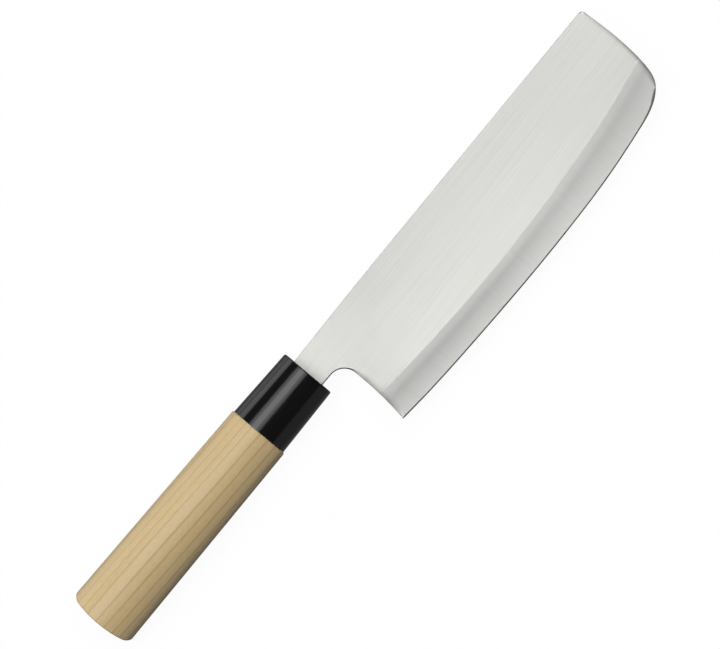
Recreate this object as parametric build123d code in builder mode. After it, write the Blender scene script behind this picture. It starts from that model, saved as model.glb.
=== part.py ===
"""Nakiri knife with an oval wooden handle, a black plastic ferrule and a tang held in resin.

The knife lies on its left side. +X runs along the handle to the tip, +Y from the cutting edge to the spine
and +Z out of the right side. The origin is the middle of the knife's box, on the blade's middle plane.
Lengths are in millimetres and angles in degrees. Reaches are measured forward from the ferrule's front, and
heights and depths up and down from the handle's axis.
"""
import os
from math import cos, radians, sin, sqrt, tan

from build123d import *

# Blade, seen from the side
blade_length = 165.0         # from the heel to the front of the tip
edge_depth = 41.6            # deepest point of the edge
heel_reach = 10.0            # heel point
spine_height = 9.3           # spine at the tip
spine_bend_reach = 60.0      # where the spine turns straight
spine_angle = 0.58           # rise of the straight spine towards the tip
tip_corner_radius = 1.8      # where the spine meets the front
neck_top = 6.9               # neck's upper side at the ferrule
neck_bottom = 7.2            # neck's lower side
choil_radius = 6.7           # round between the neck and the back of the heel
heel_back_reach = 11.8       # back of the heel
heel_straight_depth = 18.5   # where the back of the heel starts to curve forward
edge_shares = (              # share of the blade's length from the heel, share of the edge's depth
    (0.0, 0.944),
    (0.0874, 0.969),
    (0.2365, 0.990),
    (0.4226, 1.0),
    (0.6089, 0.988),
    (0.7577, 0.953),
    (0.8694, 0.900),
    (0.9441, 0.827),
)
front_shares = (             # the same shares, from the toe up to the spine
    (0.9796, 0.716),
    (0.9924, 0.570),
    (0.9993, 0.300),
    (1.0, 0.156),
    (0.9963, -0.160),
    (0.9951, -0.2225),
)
heel_edge_angle = -4.5       # direction of the edge at the heel
toe_angle = 26.0             # direction of the edge where the toe starts
tip_angle = 96.0             # direction of the front where it meets the spine

# Blade, seen along its length
neck_thickness = 2.0
tip_thickness = 1.5
taper_start = 1.0            # where the flats start to thin
edge_shoulder = 0.3          # thickness where the bevels meet the sharpened edge
grind_radius = 350.0         # radius of the wheel that hollows the bevels
sharpening_angle = 16.0      # each side of the middle plane
sharpening_width = 2.4       # how far in from the edge the sharpening stone can cut
toe_run_out = 12.0           # how far the stone runs straight on from the toe
edge_land = 0.05             # thickness left at the very edge
grind_shares = (             # share of the length, then the grind line's and the edge's share of the depth
    (-0.05, 0.620, 0.933),
    (0.0874, 0.659, 0.969),
    (0.2365, 0.687, 0.990),
    (0.4226, 0.695, 1.0),
    (0.6089, 0.663, 0.988),
    (0.7577, 0.617, 0.953),
    (0.8694, 0.563, 0.900),
    (0.9530, 0.508, 0.837),
    (1.0400, 0.447, 0.755),
)

# Tang
tang_length = 82.0
tang_root_height = 11.0
tang_end_height = 5.0
tang_end_thickness = 1.4

# Ferrule
ferrule_length = 29.5
ferrule_rear_height = 24.55
ferrule_front_height = 23.05
ferrule_rear_thickness = 19.4
ferrule_front_thickness = 18.2
ferrule_wall = 2.0
ferrule_front_wall = 4.0
ferrule_front_round = 0.7
round_steps = 3              # straight bands that make up the round
fit_gap = 0.1                # glue line round the neck and round the tenon

# Handle
wood_length = 95.8
butt_height = 27.7
butt_thickness = 22.0
joint_height = 25.7
joint_thickness = 20.5
butt_dome_radius = 55.0
butt_corner_radius = 4.5
butt_corner_spread = 0.47    # how far the corner's round would pass the handle's side
joint_arris = 0.4            # chamfer of the wood at the joint
tenon_end_gap = 0.4          # between the tenon and the ferrule's front wall
resin_film = 0.8             # resin between the tang and the wood
bore_end_gap = 1.5           # resin behind the end of the tang

# Every cut runs past what it cuts by this much
overrun = 5.0

# Places along and across the knife
tip_reach = heel_reach + blade_length
butt_reach = -ferrule_length - wood_length
ferrule_front_x = (-butt_reach - tip_reach) / 2
axis_y = (edge_depth - butt_height / 2) / 2
side = Plane((ferrule_front_x, axis_y, 0))
top = Plane((ferrule_front_x, axis_y, 0), x_dir=(1, 0, 0), z_dir=(0, -1, 0))


def station(reach):
    """The plane across the handle's axis at a reach, with x towards the spine."""
    return Plane((ferrule_front_x + reach, axis_y, 0), x_dir=(0, 1, 0), z_dir=(1, 0, 0))


def oval(reach, height, thickness):
    """An oval section of the handle or the ferrule."""
    with BuildSketch(station(reach)) as section:
        Ellipse(height / 2, thickness / 2)
    return section.sketch


def side_point(length_share, depth_share):
    """A point of the blade's side view."""
    return (heel_reach + blade_length * length_share, -edge_depth * depth_share)


def flat_half(reach):
    """Half the blade's thickness between its flats."""
    share = (reach - taper_start) / (tip_reach - taper_start)
    return (neck_thickness + (tip_thickness - neck_thickness) * share) / 2


def bevel_section(reach, grind_depth, depth):
    """Section of the wheel that grinds one bevel: its arc passes the grind line and the edge's shoulder."""
    high = Vector(-grind_depth, flat_half(reach))
    low = Vector(-depth, edge_shoulder / 2)
    across = low - high
    outward = Vector(across.Y, -across.X).normalized()
    centre = (high + low) / 2 + outward * sqrt(grind_radius**2 - across.length**2 / 4)
    places = (overrun - grind_depth, -(grind_depth + depth) / 2, -depth - overrun)
    arc = [(place, centre.Y - sqrt(grind_radius**2 - (place - centre.X) ** 2)) for place in places]
    far = neck_thickness + overrun
    with BuildSketch(station(reach)) as section:
        with BuildLine():
            ThreePointArc(*arc)
            Polyline(arc[2], (places[2], far), (places[0], far), arc[0])
        make_face()
    return section.sketch


def ferrule_size(reach, inset=0):
    """Height and thickness of the tapered ferrule at a reach, drawn in by an inset all round."""
    share = -reach / ferrule_length
    height = ferrule_front_height + (ferrule_rear_height - ferrule_front_height) * share
    thickness = ferrule_front_thickness + (ferrule_rear_thickness - ferrule_front_thickness) * share
    return height - 2 * inset, thickness - 2 * inset


def wood_size(reach):
    """Height and thickness of the tapered wood at a reach."""
    share = (-reach - ferrule_length) / wood_length
    height = joint_height + (butt_height - joint_height) * share
    thickness = joint_thickness + (butt_thickness - joint_thickness) * share
    return height, thickness


edge_points = [side_point(*shares) for shares in edge_shares]
front_points = [side_point(*shares) for shares in front_shares]
heel_direction = Vector(1, 0).rotate(Axis.Z, heel_edge_angle)
toe_direction = Vector(1, 0).rotate(Axis.Z, toe_angle)
tip_direction = Vector(1, 0).rotate(Axis.Z, tip_angle)

tenon_front = -ferrule_front_wall - tenon_end_gap

# Bore for the tang, which the resin fills
with BuildPart() as bore:
    with BuildSketch(side.offset(-neck_thickness)):
        with BuildLine():
            Polyline(
                (tenon_front, tang_root_height / 2 + resin_film),
                (-tang_length - bore_end_gap, tang_end_height / 2 + resin_film),
                (-tang_length - bore_end_gap, -tang_end_height / 2 - resin_film),
                (tenon_front, -tang_root_height / 2 - resin_film),
                close=True,
            )
        make_face()
    extrude(amount=2 * neck_thickness)
    with BuildSketch(top):
        with BuildLine():
            Polyline(
                (tenon_front, neck_thickness / 2 + resin_film),
                (-tang_length - bore_end_gap, tang_end_thickness / 2 + resin_film),
                (-tang_length - bore_end_gap, -tang_end_thickness / 2 - resin_film),
                (tenon_front, -neck_thickness / 2 - resin_film),
                close=True,
            )
        make_face()
    extrude(amount=tang_root_height, both=True, mode=Mode.INTERSECT)

# Blade
with BuildPart() as blade:
    # Side view, with the tang behind the neck
    with BuildSketch(side.offset(-neck_thickness)):
        with BuildLine():
            bend_drop = (tip_reach - spine_bend_reach) * tan(radians(spine_angle))
            straight = Line(front_points[-1], (spine_bend_reach, spine_height - bend_drop))
            TangentArc(straight @ 1, (0, neck_top), tangent=straight % 1)
            neck = Polyline(
                (0, neck_top),
                (-ferrule_front_wall, neck_top),
                (-ferrule_front_wall, tang_root_height / 2),
                (-tang_length, tang_end_height / 2),
                (-tang_length, -tang_end_height / 2),
                (-ferrule_front_wall, -tang_root_height / 2),
                (-ferrule_front_wall, -neck_bottom),
                (heel_back_reach - choil_radius, -neck_bottom),
            )
            choil = RadiusArc(neck @ 1, (heel_back_reach, -neck_bottom - choil_radius), choil_radius)
            heel_back = Line(choil @ 1, (heel_back_reach, -heel_straight_depth))
            TangentArc(heel_back @ 1, edge_points[0], tangent=(0, -1))
            Spline(*edge_points, tangents=(heel_direction, toe_direction))
            Spline(edge_points[-1], *front_points, tangents=(toe_direction, tip_direction))
        make_face()
    extrude(amount=2 * neck_thickness)
    fillet(blade.edges().filter_by(Axis.Z).sort_by(Axis.X)[-1], tip_corner_radius)

    # Thickness: the flats thin towards the tip and the tang towards its end
    with BuildSketch(top):
        with BuildLine():
            Polyline(
                (-tang_length, tang_end_thickness / 2),
                (-ferrule_front_wall, neck_thickness / 2),
                (taper_start, neck_thickness / 2),
                (tip_reach + overrun, flat_half(tip_reach + overrun)),
                (tip_reach + overrun, -flat_half(tip_reach + overrun)),
                (taper_start, -neck_thickness / 2),
                (-ferrule_front_wall, -neck_thickness / 2),
                (-tang_length, -tang_end_thickness / 2),
                close=True,
            )
        make_face()
    extrude(amount=edge_depth + overrun, both=True, mode=Mode.INTERSECT)

    # Bevels, hollowed by a large wheel on both sides
    wheel = loft(
        [
            bevel_section(heel_reach + blade_length * share, edge_depth * grind, edge_depth * edge)
            for share, grind, edge in grind_shares
        ],
        mode=Mode.PRIVATE,
    )
    add(wheel, mode=Mode.SUBTRACT)
    mirror(wheel, about=Plane.XY, mode=Mode.SUBTRACT)

    # Sharpened edge: a notched stone follows the edge and runs straight on where the toe turns up
    with BuildLine(side) as stone_path:
        edge = Spline(*edge_points, tangents=(heel_direction, toe_direction))
        Line(edge @ 0 - heel_direction * overrun, edge @ 0)
        Line(edge @ 1, edge @ 1 + toe_direction * toe_run_out)
    path = stone_path.wires()[0]
    notch = -edge_land / 2 / tan(radians(sharpening_angle))
    notch_half = (sharpening_width - notch) * tan(radians(sharpening_angle))
    with BuildSketch(Plane(path @ 0, x_dir=(path % 0).rotate(Axis.Z, 90), z_dir=path % 0)):
        with BuildLine():
            Polyline(
                (notch, 0),
                (sharpening_width, notch_half),
                (-overrun, notch_half),
                (-overrun, -notch_half),
                (sharpening_width, -notch_half),
                close=True,
            )
        make_face()
    sweep(path=path, mode=Mode.SUBTRACT)

# Ferrule
with BuildPart() as ferrule:
    ferrule_reaches = (-ferrule_length, -ferrule_length / 2)
    ferrule_sections = [oval(reach, *ferrule_size(reach)) for reach in ferrule_reaches]
    for step in range(round_steps + 1):
        angle = radians(90 * step / round_steps)
        reach = ferrule_front_round * (sin(angle) - 1)
        inset = ferrule_front_round * (1 - cos(angle))
        ferrule_sections.append(oval(reach, *ferrule_size(reach, inset)))
    loft(ferrule_sections, ruled=True)
    # Socket for the tenon
    socket_reaches = (*ferrule_reaches, -ferrule_front_wall)
    socket_sections = [oval(reach, *ferrule_size(reach, ferrule_wall)) for reach in socket_reaches]
    loft(socket_sections, ruled=True, mode=Mode.SUBTRACT)
    # Slot for the neck
    with BuildSketch(station(-ferrule_front_wall - fit_gap)):
        with Locations(((neck_top - neck_bottom) / 2, 0)):
            Rectangle(neck_top + neck_bottom + 2 * fit_gap, neck_thickness + 2 * fit_gap)
    extrude(amount=ferrule_front_wall + overrun, mode=Mode.SUBTRACT)

# Wooden handle
with BuildPart() as handle:
    wood_reaches = (butt_reach, butt_reach + 2 * butt_corner_radius, -ferrule_length)
    loft([oval(reach, *wood_size(reach)) for reach in wood_reaches], ruled=True)
    chamfer(handle.edges().group_by(Axis.X)[-1], joint_arris)
    # Butt: a shallow dome with its corners turned down, cut straight through
    with BuildSketch(side.offset(-butt_thickness)) as butt:
        with BuildLine():
            half = butt_height / 2 + butt_corner_spread
            dome_rim = butt_reach + butt_dome_radius - sqrt(butt_dome_radius**2 - half**2)
            ThreePointArc((dome_rim, half), (butt_reach, 0), (dome_rim, -half))
            Polyline((dome_rim, half), (0, half), (0, -half), (dome_rim, -half))
        make_face()
        fillet(butt.vertices().group_by(Axis.X)[0], butt_corner_radius)
    extrude(amount=2 * butt_thickness, mode=Mode.INTERSECT)
    # Tenon inside the ferrule
    tenon_reaches = (*ferrule_reaches, tenon_front)
    tenon_inset = ferrule_wall + fit_gap
    loft([oval(reach, *ferrule_size(reach, tenon_inset)) for reach in tenon_reaches], ruled=True)
    # Bore for the tang
    add(bore.part, mode=Mode.SUBTRACT)

# Resin round the tang
with BuildPart() as tang_resin:
    add(bore.part)
    add(blade.part, mode=Mode.SUBTRACT)

blade.part.label = "blade"
ferrule.part.label = "ferrule"
handle.part.label = "handle"
tang_resin.part.label = "tang_resin"

os.makedirs("parts", exist_ok=True)
export_step(blade.part, "parts/blade.step")
export_step(ferrule.part, "parts/ferrule.step")
export_step(handle.part, "parts/handle.step")
export_step(tang_resin.part, "parts/tang_resin.step")
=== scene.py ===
"""Finished surfaces of a nakiri knife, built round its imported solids.

Lengths are in metres. Places on the knife are given as a reach forward from the ferrule's front and a
height up from the handle's axis, and are turned into the frame's own places at the end.
"""
import math

import bmesh
import bpy
import numpy as np
from bpy.props import FloatProperty, FloatVectorProperty, PointerProperty
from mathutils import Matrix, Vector
from mathutils.geometry import delaunay_2d_cdt


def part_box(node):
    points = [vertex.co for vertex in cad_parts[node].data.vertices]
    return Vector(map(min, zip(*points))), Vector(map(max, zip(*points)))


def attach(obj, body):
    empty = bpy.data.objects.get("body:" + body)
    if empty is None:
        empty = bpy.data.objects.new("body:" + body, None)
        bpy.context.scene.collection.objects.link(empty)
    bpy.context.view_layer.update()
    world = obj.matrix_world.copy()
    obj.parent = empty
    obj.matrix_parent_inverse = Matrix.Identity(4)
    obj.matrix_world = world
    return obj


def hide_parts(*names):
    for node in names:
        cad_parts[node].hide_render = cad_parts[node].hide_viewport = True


bl_info = {
    "name": "Nakiri Knife",
    "version": (1, 0, 0),
    "blender": (4, 5, 0),
    "location": "3D View > Sidebar > Knife",
    "description": "Builds the finished blade, ferrule, handle and stage of a nakiri knife",
    "category": "Add Mesh",
}

MM = 0.001
TOLERANCE = 1e-7
WHITE = (1, 1, 1)

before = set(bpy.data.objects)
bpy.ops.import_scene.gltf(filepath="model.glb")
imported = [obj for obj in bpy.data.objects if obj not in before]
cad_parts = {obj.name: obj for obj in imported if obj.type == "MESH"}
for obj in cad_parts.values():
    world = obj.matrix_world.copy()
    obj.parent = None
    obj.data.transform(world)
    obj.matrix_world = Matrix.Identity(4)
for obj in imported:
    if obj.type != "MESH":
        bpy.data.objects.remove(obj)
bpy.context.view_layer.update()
blade_low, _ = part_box("blade")
ferrule_low, ferrule_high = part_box("ferrule")
handle_low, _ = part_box("handle")
resin_low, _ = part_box("tang_resin")

FERRULE_FRONT = ferrule_high.x
AXIS_HEIGHT = (ferrule_low.y + ferrule_high.y) / 2
FERRULE_LENGTH = ferrule_high.x - ferrule_low.x
BUTT_REACH = handle_low.x - FERRULE_FRONT
TANG_LENGTH = FERRULE_FRONT - blade_low.x
EDGE_DEPTH = AXIS_HEIGHT - blade_low.y

# Outline of the edge from the heel to the toe: share of the blade's length, share of the edge's depth
EDGE_SHARES = (
    (0.0, 0.944),
    (0.0874, 0.969),
    (0.2365, 0.990),
    (0.4226, 1.0),
    (0.6089, 0.988),
    (0.7577, 0.953),
    (0.8694, 0.900),
    (0.9441, 0.827),
)
# The same shares from the toe up to the spine
FRONT_SHARES = (
    (0.9796, 0.716),
    (0.9924, 0.570),
    (0.9993, 0.300),
    (1.0, 0.156),
    (0.9963, -0.160),
    (0.9951, -0.2225),
)
# Bevel: share of the length, grind line's share of the depth, edge's share of the depth
GRIND_SHARES = (
    (-0.05, 0.620, 0.933),
    (0.0874, 0.659, 0.969),
    (0.2365, 0.687, 0.990),
    (0.4226, 0.695, 1.0),
    (0.6089, 0.663, 0.988),
    (0.7577, 0.617, 0.953),
    (0.8694, 0.563, 0.900),
    (0.9530, 0.508, 0.837),
    (1.0400, 0.447, 0.755),
)
# Slope of the bevel across its width, as a share of its mean slope
BEVEL_SLOPE_SHARES = ((0.0, 0.95), (0.14, 1.05), (0.30, 1.45), (0.50, 1.15), (0.75, 0.92), (1.0, 0.72))
# Rings round the blade's outline, as shares of the eased border's width
RING_SHARES = (0.0, 0.06, 0.15, 0.28, 0.45, 0.70, 1.0)
# How far the borders are drawn out, where the spine's is 0 and the heel's back is 1
FRONT_EASE = 0.75
TIP_EASE = 0.3
NECK_EASE = 0.11
CHOIL_EASE = 0.25
# Below the first a border is linished, and below the second it meets the flat in a crisp line
LINISHED_EASE = 0.13
CRISP_EASE = 0.7
# How many points of the choil's arc keep the neck's border, and how many of the front turn to the tip's
CHOIL_KEPT = 14
FRONT_TURNED = 14
# The blade's materials, by their place on its mesh
FLAT, GROUND, SHARPENED, LINISHED = range(4)
# Steps along the grind line, and steps across the bevel and across the flat
GRIND_STEPS = 120
BEVEL_STEPS = 15
FLAT_STEPS = 11

# How far the neck runs back into the ferrule before it narrows to the tang
NECK_RUN = 4 * MM
# Points of the outline that are closer together than this are one
SAME_PLACE = 0.05 * MM
# How steeply the hollow of the flats fades towards the tip
HOLLOW_FADE = 0.7
# The stone is looked for within the first distance of the outline, and touches within the second
STONE_SEARCH = 2 * MM
STONE_TOUCH = 0.6 * MM
NARROWEST_EDGE = 0.1 * MM
# Widths that are tried for the sharpened edge
TRIAL_WIDTHS = np.linspace(0.02, 1.2, 60) * MM
# The stone bites wider round the toe, from this far behind the tip and growing over the second length
TOE_START = 22 * MM
TOE_GROWTH = 16 * MM
# Beside the sharpened edge an eased border starts this wide, and widens by this share of the way along
BORDER_START = 0.4 * MM
BORDER_GROWTH = 0.6
# Easing takes no more than this share of the half thickness
EASED_LIMIT = 0.5
# Rows of points inside the blade keep this far from its border
ROW_CLEARANCE = 0.5 * MM

# Most values of a noise lie between these two
NOISE_LOW = 0.3
NOISE_HIGH = 0.7
# Reaches between which painted shade darkens the blade's steel towards the tip
TIP_SHADE_START = 90 * MM
TIP_SHADE_END = 165 * MM

# Growth lines of the wood: heights above the axis at the middle of the handle, in millimetres
GROWTH_LINES = (-13.5, -10.6, -7.4, -3.4, 0.6, 5.0, 7.6, 10.1, 12.6)
# How far that middle lies behind the ferrule's front, and how far from the axis rings are drawn
GRAIN_MIDDLE = 72 * MM
GROWTH_REACH = 15 * MM
# The grain drops by this much towards the ferrule, and the trunk's heart lies this far below the axis
GRAIN_TILT = math.radians(1.5)
HEART_DEPTH = 95 * MM
# Share of a year's ring where its line is darkest, and the ring's tones: share of its width, darkness
DARKEST_SHARE = 0.88
YEAR_SHARES = ((0.66, 0.05), (0.80, 0.35), (DARKEST_SHARE, 1.0), (0.97, 0.15))

# Points round the handle's sections, and how many of them take half an end of a rectangular one
AROUND = 128
SLOT_CORNER = 4
AROUND_ANGLES = np.arange(AROUND) * 2 * math.pi / AROUND
# Rings on the ferrule's front, as shares of the way from its round to the slot
FRONT_RING_SHARES = (0.12, 0.3)

# The white card under the knife: its glow, its own grey, and the grey that it throws on the knife
CARD_GLOW = 0.96
CARD_GREY = (0.05, 0.05, 0.05, 1)
THROWN_GREY = (0.1, 0.1, 0.1, 1)
# Heights above the axis between which painted shade fades its mirrored glow, and what is left of it
FADE_START = 28 * MM
FADE_END = 42 * MM
SHADED_MIRRORED_GLOW = 0.2
FLOOR_SIDES = 64
ROOM_RADIANCE = 0.065
# Softboxes overhead: name, near and far side in degrees from straight up, height, radiance
SOFTBOXES = (
    ("wide_softbox", 0.8, 38.0, 5.40, 1.9),
    ("bright_softbox", 10.0, 28.0, 5.38, 1.95),
)
SOFTBOX_WIDTH = 9.6
# Upright cards beside the knife: name, distance, height of the middle, width, height, radiance
UPRIGHT_CARDS = (
    ("side_card", 3.6, 0.74, 4.4, 1.48, 1.75),
    ("fill_card", -3.6, 1.2, 1.8, 2.4, 0.24),
)
SENSOR_WIDTH = 36


def linear(hex_colour):
    """An sRGB hex colour as linear red, green and blue."""
    channels = [int(hex_colour[i:i + 2], 16) / 255 for i in (0, 2, 4)]
    return tuple(c / 12.92 if c <= 0.04045 else ((c + 0.055) / 1.055) ** 2.4 for c in channels)


def length(label, text, value):
    """A length that a user may change."""
    return FloatProperty(name=label, description=text, default=value, min=0.0, unit="LENGTH", precision=5)


def slope(label, text, degrees):
    """An angle that a user may change."""
    return FloatProperty(name=label, description=text, default=math.radians(degrees), unit="ROTATION")


def colour(label, text, hex_colour):
    """A colour that a user may change."""
    return FloatVectorProperty(
        name=label, description=text, default=linear(hex_colour), subtype="COLOR", size=3, min=0.0, max=1.0
    )


class BladeSettings(bpy.types.PropertyGroup):
    """Sizes and colours of the blade."""

    blade_length: length("Blade length", "From the heel to the front of the tip", 165 * MM)
    heel_reach: length("Heel reach", "From the ferrule to the heel", 10 * MM)
    spine_height: length("Spine height", "Height of the spine at the tip", 9.3 * MM)
    spine_bend_reach: length("Spine bend", "Where the spine turns straight", 60 * MM)
    spine_angle: slope("Spine angle", "Rise of the spine towards the tip", 0.58)
    tip_radius: length("Tip radius", "Round where the spine meets the front", 1.8 * MM)
    neck_top: length("Neck top", "Upper side of the neck above the axis", 6.9 * MM)
    neck_bottom: length("Neck bottom", "Lower side of the neck below the axis", 7.2 * MM)
    choil_radius: length("Choil radius", "Round between the neck and the heel's back", 6.7 * MM)
    heel_back_reach: length("Heel back reach", "From the ferrule to the heel's back", 11.8 * MM)
    heel_straight_depth: length("Heel straight depth", "Where the heel's back starts to curve", 18.5 * MM)
    heel_edge_angle: slope("Heel edge angle", "Direction of the edge at the heel", -4.5)
    toe_angle: slope("Toe angle", "Direction of the edge at the toe", 26)
    tip_angle: slope("Tip angle", "Direction of the front at the spine", 96)
    tang_root_height: length("Tang root height", "Height of the tang at the neck", 11 * MM)
    tang_end_height: length("Tang end height", "Height of the tang at its end", 5 * MM)
    tang_end_thickness: length("Tang end thickness", "Thickness of the tang at its end", 1.4 * MM)
    neck_thickness: length("Neck thickness", "Thickness of the flats at the neck", 2.0 * MM)
    tip_thickness: length("Tip thickness", "Thickness of the flats at the tip", 1.5 * MM)
    taper_start: length("Taper start", "Where the flats start to thin", 1.0 * MM)
    flat_hollow: length("Flat hollow", "How far the flats are hollow across", 0.10 * MM)
    edge_shoulder: length("Edge shoulder", "Thickness where the bevels meet the edge", 0.3 * MM)
    edge_land: length("Edge land", "Thickness left at the very edge", 0.05 * MM)
    sharpening_angle: slope("Sharpening angle", "Slope of the edge, each side", 16)
    toe_run_out: length("Toe run-out", "How far the stone runs on from the toe", 12 * MM)
    eased_drop: length("Eased drop", "How far the outline's corners are eased at most", 0.25 * MM)
    eased_angle: slope("Eased angle", "Slope of the eased corners", 32)
    narrow_border: length("Narrow border", "Width of the eased border on the spine", 0.13 * MM)
    wide_border: length("Wide border", "Width of the eased border on the heel's back", 3.0 * MM)
    steel_colour: colour("Steel", "Satin steel of the flats", "DDDED9")
    ground_colour: colour("Ground steel", "Ground steel of the bevels", "EAEBE7")
    # The darker grey of the sharpened steel is painted shade for its dark reflection
    edge_shade_colour: colour("Sharpened steel", "Stone-ground steel at the edge", "A0A1A0")
    # The darker grey of the eased border is painted shade on the outline's corners
    border_shade_colour: colour("Eased border", "Linished steel round the outline", "B4B6B3")


class HandleSettings(bpy.types.PropertyGroup):
    """Sizes and colours of the ferrule, the wood and the resin."""

    front_round: length("Front round", "Round of the ferrule's front", 0.7 * MM)
    rear_height: length("Ferrule rear height", "Height of the ferrule at the joint", 24.55 * MM)
    front_height: length("Ferrule front height", "Height of the ferrule at its front", 23.05 * MM)
    rear_thickness: length("Ferrule rear thickness", "Thickness of the ferrule at the joint", 19.4 * MM)
    front_thickness: length("Ferrule front thickness", "Thickness of the ferrule at its front", 18.2 * MM)
    ferrule_wall: length("Ferrule wall", "Wall round the tenon", 2.0 * MM)
    front_wall: length("Front wall", "Wall that the neck passes through", 4.0 * MM)
    fit_gap: length("Fit gap", "Glue line round the neck and the tenon", 0.1 * MM)
    joint_height: length("Wood joint height", "Height of the wood at the joint", 25.7 * MM)
    joint_thickness: length("Wood joint thickness", "Thickness of the wood at the joint", 20.5 * MM)
    butt_height: length("Butt height", "Height of the wood at the butt", 27.7 * MM)
    butt_thickness: length("Butt thickness", "Thickness of the wood at the butt", 22.0 * MM)
    butt_dome_radius: length("Butt dome radius", "Dome of the butt", 55 * MM)
    butt_corner_radius: length("Butt corner radius", "Round of the butt's corners", 4.5 * MM)
    butt_corner_spread: length("Butt corner spread", "How far that round would pass the side", 0.47 * MM)
    joint_arris: length("Joint arris", "Chamfer of the wood at the joint", 0.4 * MM)
    butt_arris: length("Butt arris", "Round of the wood's rim at the butt", 0.45 * MM)
    tenon_gap: length("Tenon gap", "Between the tenon and the front wall", 0.4 * MM)
    resin_film: length("Resin film", "Resin between the tang and the wood", 0.8 * MM)
    plastic_colour: colour("Plastic", "Black plastic of the ferrule", "0D0D0F")
    wood_colour: colour("Wood", "Early wood of the handle", "E2C896")
    growth_colour: colour("Growth lines", "Late wood of the handle", "B78C56")
    resin_colour: colour("Resin", "Resin round the tang", "8A6A32")


class StageSettings(bpy.types.PropertyGroup):
    """Floor, lamps and camera."""

    floor_radius: length("Floor radius", "Radius of the floor", 14.0)
    camera_distance: length("Camera distance", "Height of the camera over the blade", 4.6)
    camera_reach: length("Camera reach", "How far in front of the ferrule the camera stands", 27.09 * MM)
    camera_drop: length("Camera drop", "How far below the handle's axis the camera stands", 3.285 * MM)
    camera_turn: slope("Camera turn", "Turn of the picture about the line of sight", -50.005)
    view_width: length("View width", "Width of the picture at the blade", 276.5 * MM)
    floor_colour: colour("Floor", "Pale floor", "FFFFFF")


def clamped_spline(points, first, last, count):
    """Evenly spaced points on the smooth curve through the given ones, with its directions at both ends."""
    points = np.array(points, float)
    gaps = np.linalg.norm(np.diff(points, axis=0), axis=1)
    knots = np.concatenate([[0.0], np.cumsum(gaps)])
    size = len(points)
    matrix = np.eye(size)
    target = np.zeros_like(points)
    target[0] = first
    target[-1] = last
    for i in range(1, size - 1):
        before, after = gaps[i - 1], gaps[i]
        matrix[i, i - 1:i + 2] = after, 2 * (before + after), before
        rise_before = (points[i] - points[i - 1]) / before
        rise_after = (points[i + 1] - points[i]) / after
        target[i] = 3 * (after * rise_before + before * rise_after)
    slopes = np.linalg.solve(matrix, target)
    places = np.linspace(0, knots[-1], count)
    spans = np.clip(np.searchsorted(knots, places, side="right") - 1, 0, size - 2)
    gap = gaps[spans][:, None]
    t = (places - knots[spans])[:, None] / gap
    start, end = points[spans], points[spans + 1]
    pull = gap * (slopes[spans] * t * (1 - t) ** 2 - slopes[spans + 1] * t**2 * (1 - t))
    return start + (end - start) * t**2 * (3 - 2 * t) + pull


def tangent_arc(start, direction, end, count):
    """Points on the arc that leaves the start in a direction and passes through the end."""
    start, end = np.array(start, float), np.array(end, float)
    chord = end - start
    turn = math.atan2(direction[0] * chord[1] - direction[1] * chord[0], np.dot(direction, chord))
    shares = np.linspace(0, 1, count)
    reaches = np.sin(turn * shares) / math.sin(turn) * np.linalg.norm(chord)
    angles = math.atan2(direction[1], direction[0]) + turn * shares
    return start + np.stack([reaches * np.cos(angles), reaches * np.sin(angles)], axis=1)


def heading(angle):
    """Unit vector in a direction of the side view."""
    return np.array([math.cos(angle), math.sin(angle)])


def spaced(start, end, step):
    """Evenly spaced points on a straight line, about a step apart."""
    start, end = np.array(start, float), np.array(end, float)
    count = max(2, int(np.linalg.norm(end - start) / step) + 2)
    return start + (end - start) * np.linspace(0, 1, count)[:, None]


def distance_to_path(places, path):
    """Distance of each place to a path of straight steps."""
    nearest = np.full(len(places), np.inf)
    for start, end in zip(path[:-1], path[1:]):
        step = end - start
        share = np.clip((places - start) @ step / (step @ step), 0, 1)
        nearest = np.minimum(nearest, np.linalg.norm(places - start - share[:, None] * step, axis=1))
    return nearest


def points_inside(places, loop):
    """Which places lie inside a closed loop."""
    found = np.zeros(len(places), bool)
    x, y = places[:, 0], places[:, 1]
    for (x1, y1), (x2, y2) in zip(loop, np.roll(loop, -1, axis=0)):
        if y1 == y2:
            continue
        crosses = (y1 > y) != (y2 > y)
        found ^= crosses & (x < (x2 - x1) * (y - y1) / (y2 - y1) + x1)
    return found


def frame_place(reach, height, depth):
    """A place on the knife in the frame's own lengths."""
    return Vector((FERRULE_FRONT + reach, AXIS_HEIGHT + height, depth))


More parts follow.
